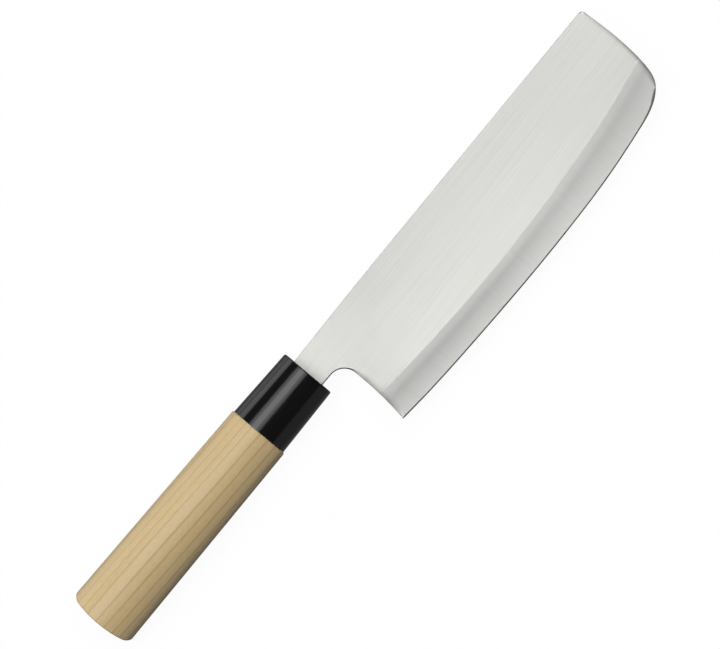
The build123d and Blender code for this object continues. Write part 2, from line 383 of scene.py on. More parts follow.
class BladeForm:
    """The blade's side view and its thickness."""

    def __init__(self, blade):
        self.blade = blade
        self.tip_reach = blade.heel_reach + blade.blade_length
        edge_points = [self.side_point(*shares) for shares in EDGE_SHARES]
        front_points = [edge_points[-1]] + [self.side_point(*shares) for shares in FRONT_SHARES]
        heel, toe = heading(blade.heel_edge_angle), heading(blade.toe_angle)
        self.edge = clamped_spline(edge_points, heel, toe, count=150)
        self.front = clamped_spline(front_points, toe, heading(blade.tip_angle), count=90)
        heel_tail = self.edge[0] - heel * blade.toe_run_out
        toe_tail = self.edge[-1] + toe * blade.toe_run_out
        self.stone_path = np.vstack([heel_tail, self.edge, toe_tail])
        reaches = [blade.heel_reach + blade.blade_length * share for share, _, _ in GRIND_SHARES]
        grind = [(reach, grind * EDGE_DEPTH) for reach, (_, grind, _) in zip(reaches, GRIND_SHARES)]
        foot = [(reach, edge * EDGE_DEPTH) for reach, (_, _, edge) in zip(reaches, GRIND_SHARES)]
        self.grind = self.free_curve(grind)
        self.foot = self.free_curve(foot)
        self.fall_shares = np.linspace(0, 1, 101)
        slopes = np.interp(self.fall_shares, *zip(*BEVEL_SLOPE_SHARES))
        fall = np.concatenate([[0.0], np.cumsum((slopes[1:] + slopes[:-1]) / 2)])
        self.fall = fall / fall[-1]

    def side_point(self, length_share, depth_share):
        """A point of the side view."""
        return (self.blade.heel_reach + self.blade.blade_length * length_share, -EDGE_DEPTH * depth_share)

    @staticmethod
    def free_curve(points):
        """A smooth curve whose ends follow their own first and last steps."""
        points = np.array(points)
        first, last = points[1] - points[0], points[-1] - points[-2]
        first, last = first / np.linalg.norm(first), last / np.linalg.norm(last)
        return clamped_spline(points, first, last, count=240)

    def grind_depth(self, reach):
        """Depth of the grind line at a reach."""
        return np.interp(reach, self.grind[:, 0], self.grind[:, 1])

    def foot_depth(self, reach):
        """Depth of the bevel's foot at a reach."""
        return np.interp(reach, self.foot[:, 0], self.foot[:, 1])

    def half_thickness(self, places):
        """Half the blade's thickness at places of the side view, before its borders are eased."""
        blade = self.blade
        reach, depth = places[:, 0], -places[:, 1]
        stations = (
            (-TANG_LENGTH, blade.tang_end_thickness),
            (-NECK_RUN, blade.neck_thickness),
            (blade.taper_start, blade.neck_thickness),
            (self.tip_reach, blade.tip_thickness),
        )
        flat = np.interp(reach, *zip(*stations)) / 2
        grind = self.grind_depth(reach)
        across = np.clip((depth + blade.spine_height) / (grind + blade.spine_height), 0, 1)
        # The hollow deepens from the heel's back to three times its reach, and fades from there to the tip
        deepening = np.clip((reach - blade.heel_back_reach) / (2 * blade.heel_back_reach), 0, 1)
        fading = np.clip((self.tip_reach - reach) / (self.tip_reach - 3 * blade.heel_back_reach), 0, 1)
        hollow = blade.flat_hollow * 4 * across * (1 - across) * deepening * fading**HOLLOW_FADE
        share = np.clip((depth - grind) / (self.foot_depth(reach) - grind), 0, 1)
        bevel = flat - (flat - blade.edge_shoulder / 2) * np.interp(share, self.fall_shares, self.fall)
        gap = distance_to_path(places, self.stone_path)
        sharp = blade.edge_land / 2 + gap * math.tan(blade.sharpening_angle)
        return np.minimum(np.where(share > 0, bevel, flat - hollow), sharp)

    def outline(self):
        """The outline, anticlockwise from under the neck, and how far its border is drawn out."""
        blade = self.blade
        choil_start = (blade.heel_back_reach - blade.choil_radius, -blade.neck_bottom)
        choil_end = (blade.heel_back_reach, -blade.neck_bottom - blade.choil_radius)
        choil = tangent_arc(choil_start, (1, 0), choil_end, count=21)
        back_end = (blade.heel_back_reach, -blade.heel_straight_depth)
        back_curve = tangent_arc(back_end, (0, -1), self.edge[0], count=16)

        spine_end = self.front[-1]
        straight_length = self.tip_reach - blade.spine_bend_reach
        bend_height = blade.spine_height - straight_length * math.tan(blade.spine_angle)
        bend = np.array([blade.spine_bend_reach, bend_height])
        along_spine = (bend - spine_end) / np.linalg.norm(bend - spine_end)
        along_front = heading(blade.tip_angle)
        corner = math.acos(float(np.dot(-along_front, along_spine)))
        trim = blade.tip_radius / math.tan(corner / 2)
        front = self.front[np.linalg.norm(self.front - spine_end, axis=1) > trim * 1.2]
        tip_start = spine_end - along_front * trim
        tip = tangent_arc(tip_start, along_front, spine_end + along_spine * trim, count=9)
        neck_curve = tangent_arc(bend, along_spine, (0, blade.neck_top), count=16)

        half_root, half_end = blade.tang_root_height / 2, blade.tang_end_height / 2
        # Each stretch with how far its border is drawn out, at its start and at its end
        stretches = (
            (spaced((-NECK_RUN, -blade.neck_bottom), choil_start, 2 * MM), NECK_EASE, NECK_EASE),
            (choil[:CHOIL_KEPT], NECK_EASE, NECK_EASE),
            (choil[CHOIL_KEPT - 1:], NECK_EASE, CHOIL_EASE),
            (spaced(choil_end, back_end, 1 * MM), CHOIL_EASE, 1),
            (back_curve, 1, 1),
            (self.edge, FRONT_EASE, FRONT_EASE),
            (front[:-FRONT_TURNED], FRONT_EASE, FRONT_EASE),
            (front[-FRONT_TURNED:], FRONT_EASE, TIP_EASE),
            (tip, TIP_EASE, 0),
            (spaced(tip[-1], bend, 4 * MM), 0, 0),
            (neck_curve, 0, 0),
            (spaced((0, blade.neck_top), (-NECK_RUN, blade.neck_top), 2 * MM), 0, 0),
            (spaced((-NECK_RUN, half_root), (-TANG_LENGTH, half_end), 6 * MM), 0, 0),
            (spaced((-TANG_LENGTH, half_end), (-TANG_LENGTH, -half_end), 2 * MM), 0, 0),
            (spaced((-TANG_LENGTH, -half_end), (-NECK_RUN, -half_root), 6 * MM), 0, 0),
        )
        points, eases = [], []
        for stretch, start, end in stretches:
            for point, ease in zip(stretch, np.linspace(start, end, len(stretch))):
                if points and np.linalg.norm(point - points[-1]) < SAME_PLACE:
                    continue
                points.append(np.array(point))
                eases.append(ease)
        return np.array(points), np.array(eases)

    def borders(self, points, inward, eases):
        """Width and drop of the border inside each point, and which points are on the sharpened edge."""
        blade = self.blade
        # The sharpened edge has its shoulder in place of an eased border
        sharp_width = np.zeros(len(points))
        slope_rise = math.tan(blade.sharpening_angle)
        gaps = distance_to_path(points, self.stone_path)
        for i in np.flatnonzero((gaps < STONE_SEARCH) & (points[:, 0] > 0)):
            row = points[i] + inward[i] * TRIAL_WIDTHS[:, None]
            rise = blade.edge_land / 2 + distance_to_path(row, self.stone_path) * slope_rise
            reached = self.half_thickness(row) < rise - TOLERANCE
            if reached.any():
                sharp_width[i] = TRIAL_WIDTHS[np.argmax(reached)]
        low = points[:, 1] < -blade.heel_straight_depth
        sharp = (gaps < STONE_TOUCH) & (sharp_width > NARROWEST_EDGE) & low
        sharp_width *= 1 + np.clip((points[:, 0] - self.tip_reach + TOE_START) / TOE_GROWTH, 0, 1)

        walked = np.concatenate([[0.0], np.cumsum(np.linalg.norm(np.diff(points, axis=0), axis=1))])
        near_edge = np.array([np.abs(walked[sharp] - place).min() for place in walked])
        drawn = blade.narrow_border + (blade.wide_border - blade.narrow_border) * eases
        eased_width = np.minimum(drawn, BORDER_START + BORDER_GROWTH * near_edge)
        border = np.where(sharp, sharp_width, eased_width)
        drop = np.minimum(blade.eased_drop, border * math.tan(blade.eased_angle))
        drop *= np.minimum(1, border / drawn)
        drop = np.where(sharp, 0.0, np.minimum(drop, self.half_thickness(points) * EASED_LIMIT))
        return border, drop, sharp

    def filling(self, inner):
        """Points and faces that fill the inner ring, and the point that each place of the ring became."""
        count = len(inner)
        below_grind = np.flatnonzero(-inner[:, 1] >= self.grind_depth(inner[:, 0]))
        first, last = int(below_grind[0]), int(below_grind[-1])
        reaches = np.linspace(inner[first][0], inner[last][0], GRIND_STEPS)[1:-1]
        grind, foot = self.grind_depth(reaches), self.foot_depth(reaches)
        grind_line = np.stack([reaches, -grind], axis=1)
        rows = []
        for share in np.linspace(0, 1, BEVEL_STEPS)[1:-1]:
            depth = grind * (1 - share) + foot * share
            rows.append(np.stack([reaches, -depth], axis=1))
        for share in np.linspace(0, 1, FLAT_STEPS)[1:-1]:
            depth = grind * share - self.blade.spine_height * (1 - share)
            rows.append(np.stack([reaches, -depth], axis=1)[::3])
        rows = np.vstack(rows)
        clear = distance_to_path(rows, np.vstack([inner, inner[:1]])) > ROW_CLEARANCE
        rows = rows[clear & points_inside(rows, inner)]

        places = [Vector(place) for place in np.vstack([inner, grind_line, rows])]
        chain = [first] + list(range(count, count + len(grind_line))) + [last]
        edges = [(i, (i + 1) % count) for i in range(count)] + list(zip(chain[:-1], chain[1:]))
        made, _, faces, origins, _, _ = delaunay_2d_cdt(places, edges, [], 1, TOLERANCE)
        became = {origin: i for i, found in enumerate(origins) for origin in found}
        return np.array([tuple(place) for place in made]), faces, [became[i] for i in range(count)]


def add_mesh_piece(name, mesh, materials, node):
    """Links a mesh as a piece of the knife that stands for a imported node."""
    for finish in materials:
        mesh.materials.append(finish)
    piece = bpy.data.objects.new(name, mesh)
    bpy.context.scene.collection.objects.link(piece)
    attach(piece, "root")
    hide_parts(node)
    return piece


def add_node(tree, kind, settings=None, inputs=None):
    """Adds a node, sets its properties, and sets or links its inputs."""
    node = tree.nodes.new(kind)
    for key, value in (settings or {}).items():
        setattr(node, key, value)
    for key, value in (inputs or {}).items():
        if isinstance(value, bpy.types.NodeSocket):
            tree.links.new(value, node.inputs[key])
        else:
            node.inputs[key].default_value = value
    return node


def new_material(name):
    """A material with an empty node tree and its output."""
    material = bpy.data.materials.new(name)
    material.use_nodes = True
    material.node_tree.nodes.clear()
    output = material.node_tree.nodes.new("ShaderNodeOutputMaterial")
    return material, material.node_tree, output


def finish_material(tree, output, inputs):
    """Ends a material in one principled surface."""
    surface = add_node(tree, "ShaderNodeBsdfPrincipled", inputs=inputs)
    tree.links.new(surface.outputs["BSDF"], output.inputs["Surface"])


def stretched_noise(tree, grain, detail=2.0, tilt=0.0, offset=(0, 0, 0)):
    """Noise whose features have the given sizes along X, Y and Z, in metres."""
    place = add_node(tree, "ShaderNodeTexCoord").outputs["Object"]
    turned = add_node(
        tree,
        "ShaderNodeMapping",
        inputs={"Vector": place, "Rotation": (0, 0, tilt), "Location": offset},
    )
    scaled = add_node(
        tree,
        "ShaderNodeMapping",
        inputs={"Vector": turned.outputs["Vector"], "Scale": tuple(1 / size for size in grain)},
    )
    noise = add_node(
        tree,
        "ShaderNodeTexNoise",
        inputs={"Vector": scaled.outputs["Vector"], "Scale": 1.0, "Detail": detail, "Roughness": 0.6},
    )
    return noise.outputs["Fac"]


def spread(tree, value, low, high):
    """A noise value stretched to run between two numbers."""
    return add_node(
        tree,
        "ShaderNodeMapRange",
        inputs={
            "Value": value,
            "From Min": NOISE_LOW,
            "From Max": NOISE_HIGH,
            "To Min": low,
            "To Max": high,
        },
    ).outputs["Result"]


def mottled(tree, noise, first, second):
    """Colours that a noise runs between."""
    inputs = {0: spread(tree, noise, 0, 1), 6: (*first, 1), 7: (*second, 1)}
    return add_node(tree, "ShaderNodeMix", {"data_type": "RGBA"}, inputs).outputs[2]


def layered(tree, base, layers):
    """A colour multiplied by layers, each a factor and the two tones that it runs between."""
    for factor, first, second in layers:
        inputs = {0: factor, 6: (*first, 1), 7: (*second, 1)}
        tone = add_node(tree, "ShaderNodeMix", {"data_type": "RGBA"}, inputs).outputs[2]
        settings = {"data_type": "RGBA", "blend_type": "MULTIPLY"}
        base = add_node(tree, "ShaderNodeMix", settings, {0: 1.0, 6: base, 7: tone}).outputs[2]
    return base


def satin_steel(
    name, colour_value, grain, streak, roughness, tilt=0.0, tip_shade=1.0, anisotropy=0.0, turn=0.0
):
    """Stainless steel worked with an abrasive: soft streaks that follow the abrasive's way, with painted
    shade on the eased borders and towards the tip.
    """
    material, tree, output = new_material(name)
    fine = stretched_noise(tree, grain, 3.0, tilt)
    broad = stretched_noise(tree, tuple(size * 9 for size in grain), 2.0, tilt, (0.3, 0.1, 0))
    dark = tuple(channel * streak for channel in colour_value)
    painted_edge_shade = add_node(tree, "ShaderNodeAttribute", {"attribute_name": "painted_edge_shade"})
    place = add_node(tree, "ShaderNodeTexCoord").outputs["Object"]
    split = add_node(tree, "ShaderNodeSeparateXYZ", inputs={"Vector": place})
    towards_tip = add_node(
        tree,
        "ShaderNodeMapRange",
        {"interpolation_type": "SMOOTHSTEP"},
        {
            "Value": split.outputs["X"],
            "From Min": FERRULE_FRONT + TIP_SHADE_START,
            "From Max": FERRULE_FRONT + TIP_SHADE_END,
        },
    )
    layers = (
        (spread(tree, broad, 0, 1), (0.97, 0.972, 0.97), WHITE),
        # Painted shade on the eased borders: the steel greys towards the outline, most on the front and the
        # heel's back
        (painted_edge_shade.outputs["Fac"], WHITE, (0.42, 0.42, 0.425)),
        # Painted shade also darkens the steel towards the tip
        (towards_tip.outputs["Result"], WHITE, (tip_shade, tip_shade, tip_shade)),
    )
    shade = layered(tree, mottled(tree, fine, dark, colour_value), layers)
    relief = add_node(
        tree, "ShaderNodeBump", inputs={"Height": fine, "Strength": 0.25, "Distance": 0.02 * MM}
    )
    tangent = add_node(tree, "ShaderNodeTangent", {"direction_type": "UV_MAP", "uv_map": "along_blade"})
    finish_material(
        tree,
        output,
        {
            "Base Color": shade,
            "Metallic": 1.0,
            "Roughness": roughness,
            "Anisotropic": anisotropy,
            "Anisotropic Rotation": turn,
            "Tangent": tangent.outputs["Tangent"],
            "Normal": relief.outputs["Normal"],
        },
    )
    return material


def blade_steels(blade):
    """The blade's materials, in the order of their places on its mesh."""
    # Streaks in the steel are about 0.1 mm wide on the knife, and are drawn 0.35 mm wide so that they show
    streak_width = 0.35 * MM
    quarter_turn = 0.25
    return (
        # A belt run along the flats leaves long soft streaks, and draws the lights out across them
        satin_steel(
            "belt_satined_steel",
            tuple(blade.steel_colour),
            (60 * MM, streak_width, 1.0),
            streak=0.88,
            roughness=0.34,
            tilt=math.radians(-1.5),
            tip_shade=0.94,
            anisotropy=0.5,
        ),
        # The bevels are ground across, so their streaks are shorter and fainter and run to the edge
        satin_steel(
            "cross_ground_steel",
            tuple(blade.ground_colour),
            (streak_width, 14 * MM, 1.0),
            streak=0.96,
            roughness=0.34,
            tip_shade=0.84,
            anisotropy=0.3,
            turn=quarter_turn,
        ),
        # A stone leaves the edge duller than the bevel over it, and its darker grey is painted shade for
        # the dark reflection along the edge
        satin_steel(
            "stone_sharpened_steel_painted_shade",
            tuple(blade.edge_shade_colour),
            (0.3 * MM, 3 * MM, 1.0),
            streak=0.9,
            roughness=0.4,
            anisotropy=0.2,
            turn=quarter_turn,
        ),
        # The outline's eased corners and the walls are linished: even and a little smoother, with no
        # streaks to see, and a darker grey that is painted shade
        satin_steel(
            "linished_steel_painted_shade",
            tuple(blade.border_shade_colour),
            (8 * MM, 8 * MM, 0.2 * MM),
            streak=0.97,
            roughness=0.3,
        ),
    )


def moulded_black_plastic(colour_value):
    """Polypropylene moulded against polished steel: black and glossy with a faint waviness."""
    material, tree, output = new_material("moulded_black_plastic")
    waves = stretched_noise(tree, (18 * MM, 5 * MM, 5 * MM), 1.0)
    scuffs = stretched_noise(tree, (6 * MM, 0.4 * MM, 0.4 * MM), 2.0)
    relief = add_node(
        tree, "ShaderNodeBump", inputs={"Height": waves, "Strength": 0.15, "Distance": 0.1 * MM}
    )
    lighter = tuple(channel * 1.5 for channel in colour_value)
    finish_material(
        tree,
        output,
        {
            "Base Color": mottled(tree, scuffs, colour_value, lighter),
            "Roughness": spread(tree, scuffs, 0.10, 0.16),
            "IOR": 1.49,
            "Normal": relief.outputs["Normal"],
        },
    )
    return material


def planed_magnolia(early, late):
    """Magnolia wood, planed and oiled lightly: pale with thin brown growth lines and a silky grain."""
    material, tree, output = new_material("planed_magnolia")
    place = add_node(tree, "ShaderNodeTexCoord").outputs["Object"]
    # The rings run round the trunk's heart
    middle = (FERRULE_FRONT - GRAIN_MIDDLE) * math.sin(GRAIN_TILT)
    heart_place = (0, HEART_DEPTH - AXIS_HEIGHT - middle, 0)
    heart = add_node(
        tree,
        "ShaderNodeMapping",
        inputs={"Vector": place, "Rotation": (0, 0, GRAIN_TILT), "Location": heart_place},
    )
    flat = add_node(
        tree, "ShaderNodeMapping", inputs={"Vector": heart.outputs["Vector"], "Scale": (0, 1, 1)}
    )
    reach = add_node(tree, "ShaderNodeVectorMath", {"operation": "LENGTH"}, {0: flat.outputs["Vector"]})
    wander = stretched_noise(tree, (110 * MM, 30 * MM, 30 * MM), 1.0)
    wandering = add_node(
        tree,
        "ShaderNodeMath",
        {"operation": "ADD"},
        {0: reach.outputs["Value"], 1: spread(tree, wander, -0.5 * MM, 0.5 * MM)},
    )
    height = add_node(
        tree,
        "ShaderNodeMapRange",
        inputs={
            "Value": wandering.outputs[0],
            "From Min": HEART_DEPTH - GROWTH_REACH,
            "From Max": HEART_DEPTH + GROWTH_REACH,
        },
    )
    # The years' growth is uneven, so a curve counts the rings between the lines
    years = add_node(tree, "ShaderNodeFloatCurve", inputs={"Value": height.outputs["Result"]})
    curve = years.mapping.curves[0]
    curve.points[0].location = (0, 0)
    curve.points[1].location = (1, 1)
    for year, line_height in enumerate(GROWTH_LINES):
        share = (line_height * MM + GROWTH_REACH) / (2 * GROWTH_REACH)
        curve.points.new(share, (year + DARKEST_SHARE) / len(GROWTH_LINES))
    years.mapping.update()
    rings = add_node(
        tree,
        "ShaderNodeMath",
        {"operation": "MULTIPLY"},
        {0: years.outputs["Value"], 1: float(len(GROWTH_LINES))},
    )
    ring = add_node(tree, "ShaderNodeMath", {"operation": "FRACT"}, {0: rings.outputs[0]})
    line = add_node(tree, "ShaderNodeValToRGB", inputs={"Fac": ring.outputs[0]})
    ramp = line.color_ramp
    for end in (0, 1):
        ramp.elements[end].position = end
        ramp.elements[end].color = (0, 0, 0, 1)
    for position, value in YEAR_SHARES:
        ramp.elements.new(position).color = (value, value, value, 1)
    # The lines are stronger in places, and fainter in the outer rings
    patches = stretched_noise(tree, (60 * MM, 3 * MM, 3 * MM), 2.0, 0, (0.2, 0.3, 0.1))
    outer = add_node(
        tree,
        "ShaderNodeMapRange",
        inputs={
            "Value": height.outputs["Result"],
            "From Min": 0.5,
            "From Max": 0.75,
            "To Min": 1.0,
            "To Max": 0.6,
        },
    )
    strength = add_node(
        tree,
        "ShaderNodeMath",
        {"operation": "MULTIPLY"},
        {0: spread(tree, patches, 0.45, 0.8), 1: outer.outputs["Result"]},
    )
    lines = add_node(
        tree,
        "ShaderNodeMath",
        {"operation": "MULTIPLY"},
        {0: line.outputs["Color"], 1: strength.outputs[0]},
    )
    fibres = stretched_noise(tree, (2 * MM, 0.4 * MM, 0.4 * MM), 3.0)
    clouds = stretched_noise(tree, (70 * MM, 6 * MM, 6 * MM), 2.0, 0, (0.5, 0.4, 0.2))
    paler = tuple(min(1.0, channel * 1.03) for channel in early)
    darker = tuple(channel * shade for channel, shade in zip(early, (0.975, 0.965, 0.945)))
    inputs = {0: lines.outputs[0], 6: mottled(tree, clouds, paler, darker), 7: (*late, 1)}
    grown = add_node(tree, "ShaderNodeMix", {"data_type": "RGBA"}, inputs)
    facing = add_node(tree, "ShaderNodeNewGeometry").outputs["Normal"]
    split = add_node(tree, "ShaderNodeSeparateXYZ", inputs={"Vector": facing})
    butt_shade = add_node(
        tree,
        "ShaderNodeMapRange",
        inputs={"Value": split.outputs["X"], "From Min": -0.25, "From Max": -0.8},
    )
    layers = (
        # Cut fibres catch the light in short silky strokes
        (spread(tree, fibres, 0, 1), (0.88, 0.87, 0.85), WHITE),
        # Painted shade: faces that turn back towards the butt are darker
        (butt_shade.outputs["Result"], WHITE, (0.66, 0.64, 0.60)),
    )
    relief = add_node(
        tree, "ShaderNodeBump", inputs={"Height": fibres, "Strength": 0.2, "Distance": 0.05 * MM}
    )
    finish_material(
        tree,
        output,
        {
            "Base Color": layered(tree, grown.outputs[2], layers),
            "Roughness": spread(tree, fibres, 0.36, 0.46),
            "Sheen Weight": 0.25,
            "Sheen Roughness": 0.5,
            "IOR": 1.5,
            "Normal": relief.outputs["Normal"],
        },
    )
    return material


def cast_resin(colour_value):
    """Pine resin and epoxy, poured hot: amber and slightly cloudy."""
    material, tree, output = new_material("cast_resin")
    clouds = stretched_noise(tree, (4 * MM, 3 * MM, 3 * MM), 3.0)
    darker = tuple(channel * 0.6 for channel in colour_value)
    finish_material(
        tree,
        output,
        {
            "Base Color": mottled(tree, clouds, darker, colour_value),
            "Roughness": spread(tree, clouds, 0.25, 0.4),
            "IOR": 1.54,
        },
    )
    return material


class NAKIRI_OT_blade(bpy.types.Operator):
    """Builds the blade with its flats, hollow bevels, sharpened edge and tang"""

    bl_idname = "nakiri.blade"
    bl_label = "Blade"

    def execute(self, context):
        blade = context.scene.nakiri_blade
        form = BladeForm(blade)
        points, eases = form.outline()
        count = len(points)
        steps = np.roll(points, -1, axis=0) - points
        steps /= np.linalg.norm(steps, axis=1)[:, None]
        normals = np.stack([-steps[:, 1], steps[:, 0]], axis=1)
        before = np.roll(normals, 1, axis=0)
        inward = (normals + before) / (1 + np.sum(normals * before, axis=1))[:, None]
        border, drop, sharp = form.borders(points, inward, eases)
        rings, heights, shades = [], [], []
        for share in RING_SHARES:
            ring = points + inward * (border * share)[:, None]
            rings.append(ring)
            heights.append(form.half_thickness(ring) - drop * (1 - share) ** (1 + 3 * eases))
            # Painted shade for the eased borders, darkest at the outline
            shades.append(np.where(sharp, 0.0, eases * (1 - share) ** 2))
        made, faces, became = form.filling(rings[-1])
        made_height = form.half_thickness(made)

        bm = bmesh.new()
        along_blade = bm.loops.layers.uv.new("along_blade")
        painted_edge_shade = bm.verts.layers.float.new("painted_edge_shade")
        rims = []
        for side in (1, -1):
            filled = [bm.verts.new(frame_place(*place, side * z)) for place, z in zip(made, made_height)]
            ring_verts = [
                [bm.verts.new(frame_place(*place, side * z)) for place, z in zip(ring, height)]
                for ring, height in zip(rings[:-1], heights[:-1])
            ]
            for row, shade in zip(ring_verts, shades):
                for vert, value in zip(row, shade):
                    vert[painted_edge_shade] = value
            ring_verts.append([filled[i] for i in became])
            rims.append(ring_verts[0])
            for face in faces:
                patch = bm.faces.new([filled[i] for i in face][::side])
                middle = made[list(face)].mean(axis=0)
                below_grind = -middle[1] > form.grind_depth(middle[0])
                patch.material_index = GROUND if below_grind else FLAT
            for outer, within in zip(ring_verts[:-1], ring_verts[1:]):
                for i in range(count):
                    j = (i + 1) % count
                    band = bm.faces.new([outer[i], outer[j], within[j], within[i]][::side])
                    below_grind = -points[i][1] > form.grind_depth(points[i][0])
                    if sharp[i] and sharp[j]:
                        band.material_index = SHARPENED
                    elif eases[i] < LINISHED_EASE:
                        band.material_index = LINISHED
                    else:
                        band.material_index = GROUND if below_grind else FLAT
            # A narrow border meets the flat in a crisp line, and a wide one runs out into it
            for i in np.flatnonzero(eases < CRISP_EASE):
                bm.edges.get([ring_verts[-1][i], ring_verts[-1][(i + 1) % count]]).smooth = False
        right, left = rims
        for i in range(count):
            j = (i + 1) % count
            wall = bm.faces.new([left[i], left[j], right[j], right[i]])
            wall.material_index = LINISHED
        bmesh.ops.delete(bm, geom=[v for v in bm.verts if not v.link_faces], context="VERTS")
        bmesh.ops.recalc_face_normals(bm, faces=bm.faces)
        for face in bm.faces:
            face.smooth = True
            for loop in face.loops:
                loop[along_blade].uv = loop.vert.co.xy
        for edge in bm.edges:
            if len({face.material_index for face in edge.link_faces}) == 2:
                edge.smooth = False
        mesh = bpy.data.meshes.new("nakiri_blade")
        bm.to_mesh(mesh)
        bm.free()
        piece = add_mesh_piece("nakiri_blade", mesh, blade_steels(blade), "blade")
        return {"FINISHED"}


def oval_loop(reaches, height, thickness):
    """Points round an oval section, from the spine side over the right side."""
    return np.stack(
        [
            np.broadcast_to(reaches, AROUND),
            np.cos(AROUND_ANGLES) * height / 2,
            np.sin(AROUND_ANGLES) * thickness / 2,
        ],
        axis=1,
    )


def slot_loop(reach, top, bottom, thickness):
    """Points round a rectangular section, as many as round an oval."""
    quarter = AROUND // 4
    loop = []
    for k in range(AROUND):
        turn = k if k <= 2 * quarter else AROUND - k
        near = turn if turn <= quarter else 2 * quarter - turn
        if near <= SLOT_CORNER:
            height, half = 1.0, near / SLOT_CORNER
        else:
            height, half = 1 - (near - SLOT_CORNER) / (quarter - SLOT_CORNER), 1.0
        limit = top if turn <= quarter else -bottom
        sign = 1 if k <= 2 * quarter else -1
        loop.append((reach, height * limit, sign * half * thickness / 2))
    return np.array(loop)


def loft_mesh(name, loops, closed, sharp_loops=()):
    """A mesh through loops of equally many points, closed on itself or with both ends filled by strips."""
    bm = bmesh.new()
    rows = [[bm.verts.new(frame_place(*place)) for place in loop] for loop in loops]
    pairs = list(zip(rows[:-1], rows[1:]))
    if closed:
        pairs.append((rows[-1], rows[0]))
    for first, second in pairs:
        for k in range(AROUND):
            following = (k + 1) % AROUND
            bm.faces.new([first[k], first[following], second[following], second[k]])
    if not closed:
        for row in (rows[0], rows[-1]):
            bm.faces.new([row[0], row[1], row[-1]])
            for k in range(1, AROUND // 2 - 1):
                bm.faces.new([row[k], row[k + 1], row[-k - 1], row[-k]])
            bm.faces.new([row[AROUND // 2 - 1], row[AROUND // 2], row[AROUND // 2 + 1]])
    bmesh.ops.recalc_face_normals(bm, faces=bm.faces)
    for face in bm.faces:
        face.smooth = True
    for index in sharp_loops:
        row = rows[index]
        for k in range(AROUND):
            edge = bm.edges.get([row[k], row[(k + 1) % AROUND]])
            edge.smooth = False
    mesh = bpy.data.meshes.new(name)
    bm.to_mesh(mesh)
    bm.free()
    return mesh


def ferrule_size(handle, reach, inset=0.0):
    """Height and thickness of the ferrule at a reach, drawn in by an inset all round."""
    share = -reach / FERRULE_LENGTH
    height = handle.front_height + (handle.rear_height - handle.front_height) * share
    thickness = handle.front_thickness + (handle.rear_thickness - handle.front_thickness) * share
    return height - 2 * inset, thickness - 2 * inset


class NAKIRI_OT_ferrule(bpy.types.Operator):
    """Builds the black ferrule with its socket and the slot for the neck"""

    bl_idname = "nakiri.ferrule"
    bl_label = "Ferrule"

    def execute(self, context):
        handle = context.scene.nakiri_handle
        blade = context.scene.nakiri_blade
        slot_top = blade.neck_top + handle.fit_gap
        slot_bottom = blade.neck_bottom + handle.fit_gap
        slot_thickness = blade.neck_thickness + 2 * handle.fit_gap
        wall, front_round = handle.ferrule_wall, handle.front_round
        loops = [
            slot_loop(-handle.front_wall, slot_top, slot_bottom, slot_thickness),
            oval_loop(-handle.front_wall, *ferrule_size(handle, -handle.front_wall, wall)),
            oval_loop(-FERRULE_LENGTH, *ferrule_size(handle, -FERRULE_LENGTH, wall)),
        ]
        sharp = [0, 1, 2, 3]
        for reach in np.linspace(-FERRULE_LENGTH, -front_round, 16):
            loops.append(oval_loop(reach, *ferrule_size(handle, reach)))
        for angle in np.linspace(0, math.pi / 2, 8)[1:]:
            reach = front_round * (math.sin(angle) - 1)
            inset = front_round * (1 - math.cos(angle))
            loops.append(oval_loop(reach, *ferrule_size(handle, reach, inset)))
        front = loops[-1]
        slot = slot_loop(0.0, slot_top, slot_bottom, slot_thickness)
        loops += [front + (slot - front) * share for share in FRONT_RING_SHARES]
        loops.append(slot)
        sharp.append(len(loops) - 1)
        mesh = loft_mesh("oval_ferrule", loops, True, sharp)
        plastic = moulded_black_plastic(tuple(handle.plastic_colour))
        piece = add_mesh_piece("oval_ferrule", mesh, [plastic], "ferrule")
        return {"FINISHED"}


def wood_size(handle, share):
    """Height and thickness of the wood at a share of its length."""
    height = handle.joint_height + (handle.butt_height - handle.joint_height) * share
    thickness = handle.joint_thickness + (handle.butt_thickness - handle.joint_thickness) * share
    return height, thickness


def butt_line(handle, heights):
    """Reach of the butt at heights above the axis: a shallow dome with its corners turned down."""
    dome, corner = handle.butt_dome_radius, handle.butt_corner_radius
    corner_height = handle.butt_height / 2 + handle.butt_corner_spread - corner
    centre = BUTT_REACH + dome
    corner_reach = centre - math.sqrt((dome - corner) ** 2 - corner_height**2)
    touch = corner_height * dome / (dome - corner)
    heights = np.abs(heights)
    on_dome = centre - np.sqrt(dome**2 - np.minimum(heights, touch) ** 2)
    past = np.clip(heights - corner_height, 0, corner)
    on_corner = corner_reach - np.sqrt(corner**2 - past**2)
    return np.where(heights <= touch, on_dome, on_corner)


